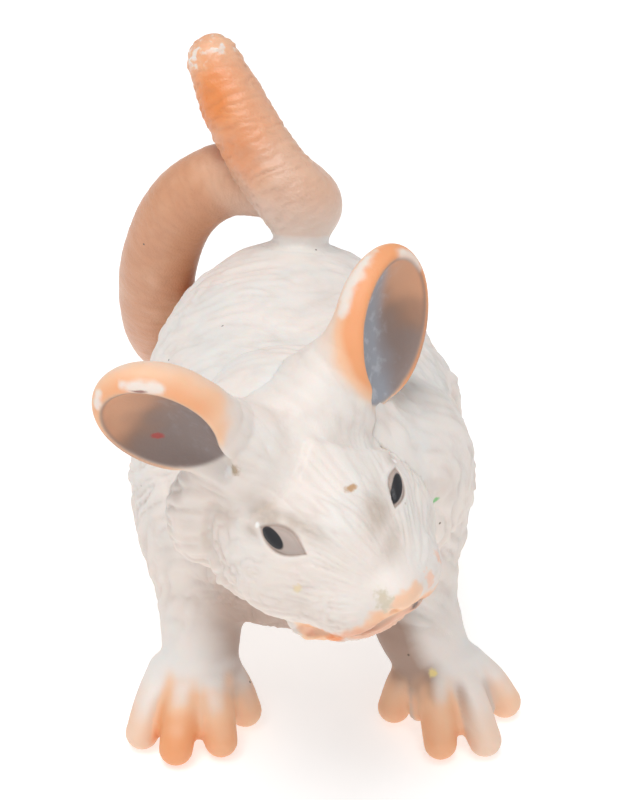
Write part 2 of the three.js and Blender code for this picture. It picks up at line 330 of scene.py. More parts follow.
# Each eye: its centre and normal, the long directions of the lids and of the pupil, the pupil's
# middle, half sizes, and patches of painted shade round it as [along, above, half length, half height, strength].
EYES = [
    {"centre": [-5.6, 4.7, 2.6], "normal": [-0.66, 0.24, 0.71], "lids": [1.3, 3.9, -0.3],
     "pupil": [-5.9, 4.1, 2.5], "slant": [0.5, 2.2, -0.7], "pupil_half": [1.15, 0.52], "half": [1.95, 0.86],
     "shade_patches": [[-2.2, 1.0, 1.6, 0.9, 1.4], [0.6, 1.6, 2.2, 0.7, 1.0], [-2.6, -0.6, 0.8, 0.5, 0.8]]},
    {"centre": [4.1, 5.6, 3.2], "normal": [0.46, 0.33, 0.82], "lids": [-2.4, 3.3, 0.0],
     "pupil": [3.9, 5.8, 3.3], "slant": [-2.6, 3.4, 0.3], "pupil_half": [1.5, 0.44], "half": [1.9, 0.66],
     "shade_patches": [[3.0, -1.5, 2.0, 1.1, 1.1], [4.7, 0.2, 1.6, 0.9, 0.7], [-3.0, -0.2, 0.9, 0.5, 0.7]]},
]


def in_head(centre, half):
    """An ellipsoid given in the head's frame."""
    return ellipsoid(head_point(*centre), half, HEAD_AXES)


def mirrored(point, side):
    return [point[0] * side, *point[1:]]


def sculpt_head(clay):
    for centre, half, blend in HEAD_MASSES:
        clay.add(in_head(centre, half), blend)
    for ear in EARS:
        add_ear(clay, ear)
    for side in (-1, 1):
        lips = [[*head_point(*mirrored(row[:3], side)), row[3]] for row in MOUTH]
        clay.cut(tube(lips, 4), 0.35)
        clay.cut(in_head(mirrored(NOSTRIL[0], side), NOSTRIL[1]), 0.3)


def skull(grow=0.0, masses=tuple(HEAD_MASSES)):
    """The head without its ears, or some of its masses, for the hollow it sits in."""
    parts = [in_head(centre, np.array(half) + grow) for centre, half, blend in masses]
    blends = [blend for centre, half, blend in masses]

    def distance(x, y, z):
        total = parts[0].distance(x, y, z)
        for part, blend in zip(parts[1:], blends[1:]):
            total = smooth_min(total, part.distance(x, y, z), blend)
        return total

    low = np.min([part.low for part in parts], axis=0)
    high = np.max([part.high for part in parts], axis=0)
    return Shape(low, high, distance)


def ear_axes(ear):
    along = unit(ear["axis"])
    depth = np.array(ear["opens"], float)
    depth = unit(depth - along * (depth @ along))
    across = np.cross(depth, along) * ear["outward"]
    return np.array([along, across, depth])


def add_ear(clay, ear):
    axes = ear_axes(ear)
    along, across, depth = axes
    half = np.array(ear["half"])
    centre = np.array(ear["centre"])
    stem_end = centre - along * half[0] * 0.4 - depth * half[2] * 0.25 - across * ear["lean"]
    clay.add(tube([[*head_point(*ear["root"]), ear["stem"]], [*stem_end, 2.3]], 4), 2.4)
    clay.add(ellipsoid(centre, half, axes), 1.2)
    clay.cut(ear_hollow(ear), 0.5)
    clay.cut(ear_canal(ear), 0.9)


def ear_hollow(ear):
    axes = ear_axes(ear)
    half = np.array(ear["half"])
    shift, wall = ear["inside"]
    offset = np.array([0.3, shift, half[2] * 0.8])
    return ellipsoid(np.array(ear["centre"]) + offset @ axes, half - np.array([0.85, wall, 0.3]), axes)


def ear_canal(ear):
    axes = ear_axes(ear)
    half = np.array(ear["half"])
    offset = np.array([-half[0] * 0.62, 1.1, half[2] * 0.6])
    return ellipsoid(np.array(ear["centre"]) + offset @ axes, [2.6, 1.7, 1.5], axes)


def torso_body():
    first, last = TORSO_SECTIONS[0][0], TORSO_SECTIONS[-1][0]
    return loft(TORSO_SECTIONS, TORSO_CAPS, [-17, first - 12, 4], [17, last + 12, 38], narrow_top=0.06)


def sculpt_torso(clay):
    clay.add(torso_body(), 0.4)
    for centre, half in SHOULDERS + HAUNCHES:
        clay.add(ellipsoid(centre, half), 3.0)
    for centre, half, blend in NECK + [CHEST]:
        clay.add(ellipsoid(centre, half), blend)
    for foot in FRONT_FEET + REAR_FEET:
        add_leg(clay, foot)
    clay.add(skull(-0.45), lambda x, y, z: 0.2 + 5.8 * ramp(y, -20.5, -14) * ramp(z, 21, 27))
    clay.cut(skull(-0.3), 0.05)


def add_leg(clay, foot):
    clay.add(tube(foot["leg"]), 2.4)
    for knuckle, tip in foot["toes"]:
        end = np.array([*tip, TOE_RADIUS])
        middle = np.array(knuckle) * 0.45 + end * 0.55 + [0, 0, 0.35]
        clay.add(tube([[*knuckle, TOE_RADIUS * 1.1], [*middle, TOE_RADIUS * 1.1], [*end, TOE_RADIUS]], 4), 0.5)
    for (knuckle, tip), (next_knuckle, next_tip) in zip(foot["toes"][:-1], foot["toes"][1:]):
        root = (np.array(knuckle) + next_knuckle) / 2
        web = root + (np.array([*tip, 1.0]) + [*next_tip, 1.0] - 2 * root) * 0.36
        clay.add(tube([[*root, 1.95], [*web, 0.85]], 4), 0.6)


def sculpt_tail(clay):
    """The tail, with a fillet of its own where it meets the back."""
    clay.add(tube(TAIL_PATH), 0.4)
    body = torso_body()
    clay.add(body, 2.0)
    clay.cut(Shape(body.low, body.high, lambda x, y, z: body.distance(x, y, z) + 0.35), 0.1)
    near = tube([[*row[:3], row[3] + 2.4] for row in TAIL_PATH])
    clay.cut(Shape([-60] * 3, [60] * 3, lambda x, y, z: -near.distance(x, y, z)), 0.6)


# ---- from clay to a Blender piece ----

def build(name, clay, finish):
    points, quads = clay.mesh()
    mesh = bpy.data.meshes.new(name)
    mesh.from_pydata(points, [], quads.tolist())
    mesh.update()
    mesh.validate()
    normals = np.empty(len(mesh.vertices) * 3)
    mesh.vertex_normals.foreach_get("vector", normals)
    normals = normals.reshape(-1, 3)
    points = finish(mesh, points, normals)
    mesh.vertices.foreach_set("co", ((points + SHIFT) * MM).ravel())
    mesh.polygons.foreach_set("use_smooth", [True] * len(mesh.polygons))
    mesh.update()
    piece = bpy.data.objects.new(name, mesh)
    bpy.context.scene.collection.objects.link(piece)
    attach(piece, "root")
    return piece


def mask(mesh, name, values):
    layer = mesh.attributes.new(name, "FLOAT", "POINT")
    layer.data.foreach_set("value", values.astype(np.float32))


def fur(places, seed, softness=0.12):
    """Sculpted fur from stretched noise: rounded tufts (towards 0) parted by creases (towards -1)."""
    parting = np.abs(noise(places, seed))
    return -np.exp(-(parting / softness) ** 1.2)


def combed(points, width, length):
    """Places for noise drawn out along the coat: round the body from the spine, and backward."""
    side, back, height = (points - [0, 0, SPINE_CENTRE]).T
    girth = np.arctan2(side + 1.0, height) * SPINE_GIRTH
    across = back - 0.5 * np.abs(girth)
    return np.stack([across / width, girth / length, np.hypot(side, height) / length], axis=1)


def radial(points, centre, width, length):
    """Places for noise stretched along the lines that leave a centre; width holds 10 mm away."""
    offset = points - centre
    distance = np.linalg.norm(offset, axis=1)[:, None]
    return offset / distance * (10 / width) + distance / length * np.array([0.6, 0.5, 0.6])


def near_line(points, line):
    """Distance of each point to a polyline."""
    best = np.full(len(points), 1e3)
    for start, end in zip(line[:-1], line[1:]):
        span = end - start
        part = np.clip(((points - start) @ span) / (span @ span), 0, 1)
        best = np.minimum(best, np.linalg.norm(points - start - part[:, None] * span, axis=1))
    return best


def eye_frame(eye, along):
    """Axes [long, high, out] of an eye, in world directions."""
    out = unit(np.array(eye["normal"]) @ HEAD_AXES)
    long = np.array(eye[along]) @ HEAD_AXES
    long = unit(long - out * (long @ out))
    return np.array([long, np.cross(out, long), out])


def finish_head(mesh, points, normals):
    local = in_head_frame(points)
    nose = head_point(0, 13.5, -0.5)
    distance = np.linalg.norm(points - nose, axis=1)
    ears = np.zeros(len(points))
    inner = np.zeros(len(points))
    paint = np.zeros(len(points))
    wear = np.zeros(len(points))
    tips = np.zeros(len(points))
    cool = np.zeros(len(points))
    blotch = noise(points / 1.7, 3)
    fine_blotch = noise(points / 0.55, 4)
    for ear in EARS:
        axes = ear_axes(ear)
        half = np.array(ear["half"])
        a, b, c = ((points - np.array(ear["centre"])) @ axes.T).T
        whole = ellipsoid(ear["centre"], half, axes).distance(*points.T)
        on_ear = 1 - ramp(whole, 0.2, 1.6)
        hollow = ear_hollow(ear).distance(*points.T)
        canal = ear_canal(ear).distance(*points.T)
        inside = (1 - ramp(np.minimum(np.abs(hollow), np.abs(canal)), 0.1, 0.9)) * on_ear
        inside *= ramp(c, -2.4, -1.2) * ramp(-whole, -0.1, 0.6)
        ears = np.maximum(ears, on_ear * ramp(a, -half[0] * 1.1, -half[0] * 0.5))
        inner = np.maximum(inner, inside)
        rim = on_ear * (1 - inside) * ramp(a + blotch, -half[0] * ear["reach"], -half[0] * 0.2)
        border = 1 - ramp(np.abs(hollow), 0.1, 2.1)
        paint = np.maximum(paint, rim * (0.28 + ear["paint"] * (0.3 * ramp(c, -1.0, 1.4) + 0.6 * border) + 0.12 * blotch))
        lateral = on_ear * (1 - inside) * ramp(b, half[1] * 0.6, half[1] * 0.9)
        inner = np.maximum(inner, lateral * 0.6)
        tips = np.maximum(tips, inside * ramp(a + blotch * 1.5, -half[0] * 0.3, half[0] * 0.75))
        cool = np.maximum(cool, ear["cool"] * inside * ramp(-b - 0.5 * a + blotch, -2.5, 2.2))
        for patch in ear["worn"]:
            line = np.array(patch)
            rubbed = near_line(np.stack([a, b, c], axis=1), line[:, :3]) + 0.35 * fine_blotch + 0.3 * blotch
            wear = np.maximum(wear, on_ear * (1 - inside) * (1 - ramp(rubbed, line[0, 3] * 0.3, line[0, 3] * 1.1)) * 0.85)
    line = np.array([row[:3] for row in MOUTH])
    lips = np.minimum(near_line(local, line), near_line(local, line * [-1, 1, 1]))
    paint = np.maximum(paint, (1 - ramp(lips + 0.9 * blotch + 0.5 * fine_blotch, 0.3, 2.0)) * 0.75)
    lower_lip = ellipsoid([0.2, 10.0, -4.7], [3.2, 2.6, 1.2]).distance(*local.T)
    paint = np.maximum(paint, (1 - ramp(lower_lip + 0.5 * blotch, -0.2, 0.7)) * 0.42)
    nose_paint = ellipsoid([0.3, 12.6, -0.5], [1.7, 1.3, 1.1]).distance(*local.T)
    paint = np.maximum(paint, (1 - ramp(nose_paint + 0.4 * fine_blotch, -0.2, 0.4)) * 0.38)

    calm = (1 - ears) * ramp(distance, 1.5, 7.0)
    eyes = np.zeros(len(points))
    lift = np.zeros(len(points))
    hollows = np.zeros(len(points))
    for eye in EYES:
        u, v, w = ((points - head_point(*eye["centre"])) @ eye_frame(eye, "lids").T).T
        shape = np.abs(v) / eye["half"][1] - (1 - (u / eye["half"][0]) ** 2)
        near = ramp(w, -2.5, -1.2)
        eyes = np.maximum(eyes, (1 - ramp(shape, 0.3, 1.2)) * near)
        ball = np.clip(1 - (u / eye["half"][0]) ** 2 - (v / eye["half"][1]) ** 2, 0, 1)
        lift += near * (0.26 * np.sqrt(ball) - 0.16 * np.exp(-(shape / 0.16) ** 2)
                        + 0.06 * np.exp(-((shape - 0.5) / 0.35) ** 2))
        brow = np.exp(-((v - 2.1) / 0.9) ** 2 - ((u + 0.4) / 2.6) ** 2)
        corner = np.exp(-((u - 2.6) / 1.3) ** 2 - (v / 1.1) ** 2)
        lift -= near * (0.28 * brow + 0.2 * corner)
        # Painted shade: darker patches in the brow fold and round the eye.
        for long, high, half_long, half_high, strength in eye["shade_patches"]:
            shade_patch = np.exp(-((u - long) / half_long) ** 2 - ((v - high) / half_high) ** 2)
            hollows = np.maximum(hollows, near * shade_patch * strength)
    bend = 0.16 * noise(points / 3.0, 12)[:, None]
    tufts = fur(radial(points, nose, 0.66, 5.5) + bend, 5, 0.16)
    hairs = noise(radial(points, nose, 0.36, 3.2) + bend, 6)
    ruff = ramp(local[:, 0] ** 2 + (local[:, 2] + 1) ** 2, 45, 70) * (1 - ramp(local[:, 1], 0.5, 4.0))
    ruff *= 1 - ramp(local[:, 2], 2.0, 5.0)
    face = skull(0.0, tuple(FACE_MASSES)).distance(*points.T)
    edge = ramp(face, 0.01, 0.08) * (1 - ramp(face, 0.12, 0.9)) * ramp(-local[:, 1], -5, -2)
    crown = ramp(local[:, 2], 1.5, 5.0)
    strength = (1 - 0.4 * crown) * (1 - ruff) + 2.3 * ruff
    relief = calm * (1 - eyes) * strength * (0.12 * tufts + 0.1 * hairs)
    relief += calm * (0.09 * noise(points / 2.6, 7) - 0.32 * edge)
    # Painted shade along the mouth groove.
    hollows = np.maximum(hollows, 0.8 * (1 - ramp(lips, 0.15, 0.7)))
    mask(mesh, "hollow", np.clip(hollows, 0, 1))
    mask(mesh, "paint", np.clip(paint, 0, 1))
    mask(mesh, "lips", ramp(local[:, 1], 8.0, 9.5) * ramp(-local[:, 2], 1.5, 2.5) * np.clip(paint * 2, 0, 1))
    mask(mesh, "inner", np.clip(inner, 0, 1))
    mask(mesh, "wear", np.clip(wear, 0, 1))
    mask(mesh, "tips", tips)
    mask(mesh, "cool", np.clip(cool, 0, 1))
    # Fur creases (dirt and painted shade) and the groove at the face's edge (painted shade).
    mask(mesh, "crease", np.clip(-tufts * (0.9 + 0.6 * ruff) + edge, 0, 1) * calm * (1 - eyes))
    # Downward-facing surfaces, for painted shade.
    mask(mesh, "under", ramp(-normals[:, 2], -0.95, 0.3))
    return points + normals * (relief + lift)[:, None]


def finish_torso(mesh, points, normals):
    x, y, z = points.T
    bend = 1.6 * noise(points / 5.5, 8)[:, None] * np.array([1.0, 0.5, 0.5])
    coat = ramp(z, 6.5, 12.0)
    tufts = fur(combed(points, 1.2, 3.0) + bend, 9, 0.2)
    hairs = noise(combed(points, 0.5, 1.8) + bend, 10)
    lumps = noise(combed(points, 2.2, 3.6) + bend, 11)
    waves = noise(points / 3.2, 11)
    off_tail = ramp(tube(TAIL_PATH).distance(x, y, z), 1.2, 4.5)
    off_head = ramp(skull().distance(x, y, z), 0.0, 1.2)
    coat = coat * (1 - 0.3 * ramp(normals[:, 2], 0.35, 0.9))
    relief = coat * off_tail * off_head * (0.26 * tufts + 0.2 * hairs + 0.4 * lumps) + (1 - coat) * 0.05 * waves
    hem = z - 19.4 - 0.12 * (y + 8) + 0.5 * noise(points / 1.3, 13)
    mantle = ramp(x, 4, 8) * (1 - ramp(y, -4, 2))
    relief += 0.4 * mantle * ramp(hem, -0.15, 0.2) * (1 - 0.7 * ramp(hem, 0.6, 5))
    paint = np.zeros(len(points))
    grooves = np.zeros(len(points))
    blotch = noise(points / 1.6, 14)
    for foot in FRONT_FEET + REAR_FEET:
        for (knuckle, tip), strength in zip(foot["toes"], foot["paint"]):
            start, end = np.array(knuckle), np.array([*tip, TOE_RADIUS])
            reach = np.linalg.norm(end - start)
            along = (points - start) @ (end - start) / reach ** 2
            off = near_line(points, np.array([start, end]))
            beside = np.abs((points - start) @ unit(np.cross(end - start, [0, 0, 1])))
            toe = 1 - ramp(off, TOE_RADIUS + 0.3, TOE_RADIUS + 1.2)
            run = along + 0.22 * ramp(beside, 0.3, 1.3) + 0.3 * blotch
            paint = np.maximum(paint, toe * strength * (0.45 * ramp(run, -0.1, 0.7) + 0.55 * ramp(run, 0.4, 1.2)))
        for (knuckle, tip), (next_knuckle, next_tip) in zip(foot["toes"][:-1], foot["toes"][1:]):
            root = (np.array(knuckle) + next_knuckle) / 2
            web = np.array([*(np.array(tip) + next_tip) / 2, TOE_RADIUS])
            furrow = np.array([0.5 * root + 0.5 * web, web])
            grooves = np.maximum(grooves, 1 - ramp(near_line(points, furrow), 1.1, 2.0))
    mask(mesh, "paint", np.clip(paint, 0, 1))
    # Fur creases, for dirt and painted shade.
    mask(mesh, "crease", np.clip(-tufts, 0, 1) * coat)
    lowest = np.where(x > 0, 1.0, 6.0)
    inward = ramp(-np.sign(x) * normals[:, 0], -0.2, 0.6) * ramp(z, lowest, lowest + 5)
    inward *= np.where(x > 0, 1.5, 0.8)
    throat = ramp(-y, 3, 10) * (1 - ramp(np.abs(x + 1), 5.0, 9.5)) * ramp(-normals[:, 2], -0.8, 0.0)
    mask(mesh, "shade", np.maximum(np.maximum(inward, throat) * (1 - ramp(z, 15, 20)), 0.55 * grooves))
    # Downward-facing surfaces, for painted shade.
    mask(mesh, "under", ramp(-normals[:, 2], -0.7, 0.4))
    return points + normals * relief[:, None]


def finish_tail(mesh, points, normals):
    line = curve(TAIL_PATH, 8)[:, :3]
    tangents = np.gradient(line, axis=0)
    tangents /= np.linalg.norm(tangents, axis=1)[:, None]
    gaps = ((points[:, None, :] - line[None, :, :]) ** 2).sum(axis=2)
    nearest = gaps.argmin(axis=1)
    length = np.concatenate([[0], np.cumsum(np.linalg.norm(np.diff(line, axis=0), axis=1))])
    run = length[nearest] + np.einsum("ij,ij->i", points - line[nearest], tangents[nearest])
    place = nearest / (len(line) - 1)
    front = ramp(place, 0.68, 0.82)
    around = points / 2.4 + run[:, None] * np.array([0.9, 0.5, 0.7]) + 0.4 * noise(points / 1.4, 18)[:, None]
    rings = fur(around, 15)
    crinkles = fur(points / 1.35 + run[:, None] * np.array([1.3, 0.6, 1.0]) + rings[:, None] * 0.4, 16, 0.3)
    waves = noise(points / 2.2, 17)
    lift = torso_body().distance(*points.T)
    attached = np.maximum(1 - ramp(lift, 0.2, 2.0), 0.42 * (1 - ramp(lift, 1.0, 6.5)))
    attached *= ramp(place, 0.5, 0.6)
    relief = (0.03 + 0.06 * front) * rings + (0.02 + 0.11 * front) * crinkles + 0.08 * waves
    mask(mesh, "place", place)
    # Paler on one side of the front of the tail.
    mask(mesh, "paler_side", front * ramp((points - line[nearest]) @ unit([0.86, 0.27, 0.43]), -1.2, 2.6))
    mask(mesh, "attached", attached)
    # Creases of the rings, for painted shade.
    mask(mesh, "crease", np.clip(-rings, 0, 1))
    return points + normals * relief[:, None]


# ---- paint and plastic ----

class Paints:
    """A material made step by step: every step lays a colour over the last through a factor."""

    def __init__(self, name, roughness, subsurface):
        self.material = bpy.data.materials.new(name)
        self.material.use_nodes = True
        self.tree = self.material.node_tree
        self.shader = self.tree.nodes["Principled BSDF"]
        self.shader.inputs["Roughness"].default_value = roughness
        self.shader.inputs["IOR"].default_value = 1.5
        self.shader.inputs["Subsurface Weight"].default_value = subsurface
        self.shader.inputs["Subsurface Radius"].default_value = (1.0, 0.45, 0.3)
        self.shader.inputs["Subsurface Scale"].default_value = 0.0012
        place = self.add("ShaderNodeTexCoord")
        scaled = self.add("ShaderNodeVectorMath", operation="SCALE")
        scaled.inputs["Scale"].default_value = 1 / MM
        self.join(place.outputs["Object"], scaled.inputs[0])
        moved = self.add("ShaderNodeVectorMath", operation="SUBTRACT")
        self.join(scaled.outputs[0], moved.inputs[0])
        moved.inputs[1].default_value = SHIFT
        self.place = moved.outputs[0]
        self.colour = None

    def add(self, kind, **settings):
        node = self.tree.nodes.new(kind)
        for key, value in settings.items():
            setattr(node, key, value)
        return node

    def join(self, source, target):
        self.tree.links.new(source, target)

    def feed(self, value, target):
        if isinstance(value, bpy.types.NodeSocket):
            self.join(value, target)
        else:
            target.default_value = value

    def sum(self, operation, *values):
        node = self.add("ShaderNodeMath", operation=operation)
        for value, target in zip(values, node.inputs):
            self.feed(value, target)
        return node.outputs[0]

    def attribute(self, name):
        return self.add("ShaderNodeAttribute", attribute_name=name).outputs["Fac"]

    def grain(self, size, detail=3.0, stretch=None):
        """Noise with features of a size in mm, about 0.5."""
        place = self.place
        if stretch is not None:
            node = self.add("ShaderNodeVectorMath", operation="MULTIPLY")
            self.join(place, node.inputs[0])
            node.inputs[1].default_value = stretch
            place = node.outputs[0]
        node = self.add("ShaderNodeTexNoise")
        self.join(place, node.inputs["Vector"])
        node.inputs["Scale"].default_value = 1 / size
        node.inputs["Detail"].default_value = detail
        return node.outputs["Fac"]

    def between(self, value, low, high):
        """0 below low, 1 above high, smooth between; low may be above high."""
        node = self.add("ShaderNodeMapRange", interpolation_type="SMOOTHSTEP")
        self.join(value, node.inputs["Value"])
        node.inputs["From Min"].default_value = low
        node.inputs["From Max"].default_value = high
        return node.outputs["Result"]

    def along(self, centre, axis):
        """How far (mm) along an axis from a centre."""
        offset = self.add("ShaderNodeVectorMath", operation="SUBTRACT")
        self.join(self.place, offset.inputs[0])
        offset.inputs[1].default_value = centre
        dot = self.add("ShaderNodeVectorMath", operation="DOT_PRODUCT")
        self.join(offset.outputs[0], dot.inputs[0])
        dot.inputs[1].default_value = axis
        return dot.outputs["Value"]

    def blob(self, centre, half, axes=np.eye(3), soft=0.25, ragged=0.0):
        """1 inside an ellipsoid (mm) and 0 outside, with a soft or ragged edge."""
        squares = [self.sum("POWER", self.along(centre, axis / size), 2.0) for axis, size in zip(axes, half)]
        total = self.sum("SQRT", self.sum("ADD", self.sum("ADD", squares[0], squares[1]), squares[2]))
        if ragged:
            rough = self.sum("MULTIPLY", self.sum("SUBTRACT", self.grain(0.35), 0.5), ragged * 2)
            total = self.sum("ADD", total, rough)
        return self.between(total, 1 + soft, 1 - soft)

    def lay(self, colour, factor):
        """Lay a colour over what is there."""
        if self.colour is None:
            self.colour = colour
            return
        node = self.add("ShaderNodeMix", data_type="RGBA")
        self.feed(factor, node.inputs["Factor"])
        for value, target in ((self.colour, node.inputs[6]), (colour, node.inputs[7])):
            self.feed(value if isinstance(value, bpy.types.NodeSocket) else (*value, 1.0), target)
        self.colour = node.outputs[2]

    def specks(self, spacing, size, share, seed):
        """Small scattered dirt: a spot in some of the cells of a cell pattern."""
        cells = self.add("ShaderNodeTexVoronoi")
        moved = self.add("ShaderNodeVectorMath", operation="ADD")
        self.join(self.place, moved.inputs[0])
        moved.inputs[1].default_value = (seed, seed * 2, seed * 3)
        self.join(moved.outputs[0], cells.inputs["Vector"])
        cells.inputs["Scale"].default_value = 1 / spacing
        parts = self.add("ShaderNodeSeparateColor")
        self.join(cells.outputs["Color"], parts.inputs[0])
        spot = self.between(cells.outputs["Distance"], size * 1.3, size * 0.6)
        return self.sum("MULTIPLY", spot, self.between(parts.outputs["Red"], 1 - share, 1 - share + 0.02))

    def bump(self, height, distance, strength=1.0):
        node = self.add("ShaderNodeBump")
        node.inputs["Strength"].default_value = strength
        node.inputs["Distance"].default_value = distance * MM
        self.join(height, node.inputs["Height"])
        self.join(node.outputs["Normal"], self.shader.inputs["Normal"])

    def finish(self):
        self.join(self.colour, self.shader.inputs["Base Color"])
        return self.material


WHITE_WARM = (0.85, 0.785, 0.74)
WHITE_COOL = (0.81, 0.785, 0.755)
# A warm tint laid evenly over the head, and painted shade: the colour that darkens and warms downward-facing surfaces.
WARM_TINT_AND_UNDERSIDE_SHADE = (0.78, 0.68, 0.61)
WORN = (0.86, 0.82, 0.77)
# Dirt and painted shade darkening the creases.
CREASE_DIRT_AND_SHADE = (0.55, 0.44, 0.38)
ORANGE_PALE = (0.90, 0.56, 0.36)
ORANGE = (0.86, 0.35, 0.14)
EAR_GREY = (0.25, 0.185, 0.165)
EAR_BROWN = (0.33, 0.19, 0.13)
EAR_TAN = (0.66, 0.34, 0.20)
EAR_BLUE = (0.33, 0.34, 0.38)
EYE_WHITE = (0.46, 0.38, 0.34)
LIP_PINK = (0.68, 0.35, 0.26)
SHADE = (0.42, 0.29, 0.23)
BROW = (0.47, 0.38, 0.31)
LID = (0.42, 0.31, 0.26)
BLACK = (0.018, 0.018, 0.022)
TAIL_TIP = (0.92, 0.56, 0.36)
DIRT = (0.16, 0.12, 0.09)


def white_vinyl(paints):
    """The bare plastic: two near whites in soft patches, painted shade darkening and warming its undersides, and dirt
    and painted shade lying in the creases.
    """
    paints.lay(WHITE_WARM, 1.0)
    paints.lay(WHITE_COOL, paints.between(paints.grain(5.0), 0.42, 0.62))
    # Painted shade: downward-facing surfaces darker and warmer.
    paints.lay(WARM_TINT_AND_UNDERSIDE_SHADE, paints.sum("MULTIPLY", paints.attribute("under"), 0.7))
    crease_patches = paints.between(paints.grain(2.4), 0.35, 0.7)
    # Dirt and painted shade in the creases, in patches.
    paints.lay(CREASE_DIRT_AND_SHADE, paints.sum("MULTIPLY", paints.attribute("crease"), paints.sum("MULTIPLY", crease_patches, 0.34)))


def orange_paint(paints):
    amount = paints.attribute("paint")
    paints.lay(ORANGE_PALE, paints.between(amount, 0.02, 0.5))
    paints.lay(ORANGE, paints.sum("MULTIPLY", paints.between(amount, 0.4, 1.0), 0.85))


def head_material():
    paints = Paints("painted_head", 0.5, 0.25)
    white_vinyl(paints)
    paints.lay(WARM_TINT_AND_UNDERSIDE_SHADE, 0.2)
    orange_paint(paints)
    paints.lay(LIP_PINK, paints.sum("MULTIPLY", paints.attribute("lips"), 0.6))
    # Painted shade in the brow fold, round the eyes and along the mouth groove.
    paints.lay(BROW, paints.sum("MULTIPLY", paints.attribute("hollow"), paints.between(paints.grain(1.6), -0.2, 0.95)))
    inner = paints.attribute("inner")
    tips = paints.sum("ADD", paints.attribute("tips"), paints.sum("MULTIPLY", paints.grain(2.5), 0.2))
    paints.lay(EAR_GREY, paints.between(inner, 0.0, 1.0))
    paints.lay(EAR_BROWN, paints.sum("MULTIPLY", inner, paints.between(tips, 0.05, 0.7)))
    paints.lay(EAR_TAN, paints.sum("MULTIPLY", inner, paints.between(tips, 0.45, 1.2)))
    paints.lay(EAR_BLUE, paints.between(paints.attribute("cool"), 0.05, 0.9))
    scuffs = paints.sum("MULTIPLY", paints.attribute("cool"), paints.between(paints.grain(0.8, 8.0), 0.5, 0.7))
    paints.lay((0.55, 0.56, 0.6), paints.sum("MULTIPLY", scuffs, 0.6))
    paints.lay(WORN, paints.attribute("wear"))
    for eye in EYES:
        axes = eye_frame(eye, "lids")
        centre = head_point(*eye["centre"])
        across = paints.sum("POWER", paints.along(centre, axes[0] / eye["half"][0]), 2.0)
        high = paints.sum("ABSOLUTE", paints.along(centre, axes[1] / eye["half"][1]))
        shape = paints.sum("SUBTRACT", paints.sum("ADD", high, across), 1.0)
        near = paints.between(paints.along(centre, axes[2]), -2.0, -1.0)
        lid = paints.sum("MULTIPLY", near, paints.between(paints.sum("ABSOLUTE", shape), 0.34, 0.0))
        paints.lay(LID, paints.sum("MULTIPLY", lid, 0.9))
        paints.lay(EYE_WHITE, paints.sum("MULTIPLY", near, paints.between(shape, 0.0, -0.16)))
        half = [*eye["pupil_half"], 1.2]
        paints.lay(BLACK, paints.blob(head_point(*eye["pupil"]), half, eye_frame(eye, "slant"), 0.1))
    for centre, half, colour, ragged in HEAD_MARKS:
        paints.lay(colour, paints.sum("MULTIPLY", paints.blob(head_point(*centre), half, HEAD_AXES, 0.5, ragged), 0.9))
    paints.lay(DIRT, paints.specks(2.6, 0.045, 0.16, 3.0))
    paints.bump(paints.grain(0.22), 0.02)
    return paints.finish()


# Small stains, a dark patch at the nostril and two painted highlights (white glints beside the eyes): (centre, half
# sizes, colour, raggedness); on the head in [left, forward, up].
HEAD_MARKS = [
    ([0.5, 4.8, 4.5], [0.45, 0.25, 0.5], (0.52, 0.3, 0.14), 0.8),
    ([-6.0, -0.7, 5.6], [0.5, 0.38, 0.4], (0.42, 0.31, 0.2), 0.8),
    ([-6.2, -1.3, 5.0], [0.5, 0.35, 0.4], (0.9, 0.88, 0.85), 0.8),
    ([-6.0, 7.3, 0.0], [0.3, 0.3, 0.3], (0.80, 0.66, 0.42), 0.9),
    # The next two are painted highlights: white glints beside the eyes.
    ([-6.2, 2.4, 2.6], [0.22, 0.22, 0.22], (0.92, 0.91, 0.9), 0.2),
    ([5.9, 3.1, 3.0], [0.25, 0.25, 0.25], (0.92, 0.91, 0.9), 0.2),
    ([-5.0, 7.3, -5.2], [0.5, 0.8, 0.5], (0.88, 0.52, 0.36), 0.6),
    ([-1.5, 11.7, -0.2], [0.5, 0.8, 0.9], (0.66, 0.58, 0.45), 1.1),
    # A dark patch at the nostril.
    ([1.6, 11.8, -2.3], [0.5, 0.9, 0.6], (0.12, 0.075, 0.06), 0.8),
    ([4.6, 10.3, -0.4], [0.4, 0.5, 0.6], (0.88, 0.62, 0.5), 1.2),
    ([2.8, 11.6, -0.6], [0.4, 0.5, 0.7], (0.88, 0.58, 0.45), 1.2),
    ([-3.7, 8.9, -5.4], [0.5, 0.7, 0.5], (0.84, 0.3, 0.12), 0.6),
    ([-9.5, -5.4, 7.3], [0.5, 0.4, 0.22], (0.45, 0.06, 0.05), 0.7),
    ([-11.3, -4.7, 13.0], [0.6, 0.5, 0.12], (0.3, 0.14, 0.11), 0.6),
    ([1.1, -6.7, 6.7], [0.35, 0.5, 0.3], (0.66, 0.55, 0.42), 1.4),
]
TORSO_MARKS = [
    ([9.8, -15.6, 25.5], [0.32, 0.6, 0.34], (0.22, 0.52, 0.2), 0.4),
    ([10.3, -12.4, 6.0], [0.35, 0.4, 0.35], (0.83, 0.68, 0.3), 0.6),
]


def torso_material():
    paints = Paints("white_torso", 0.52, 0.25)
    white_vinyl(paints)
    paints.lay(SHADE, paints.sum("MULTIPLY", paints.attribute("shade"), 0.85))
    orange_paint(paints)
    for centre, half, colour, ragged in TORSO_MARKS:
        paints.lay(colour, paints.blob(centre, half, np.eye(3), 0.4, ragged))
    paints.lay(DIRT, paints.specks(2.2, 0.05, 0.2, 7.0))
    paints.bump(paints.grain(0.22), 0.02)
    return paints.finish()


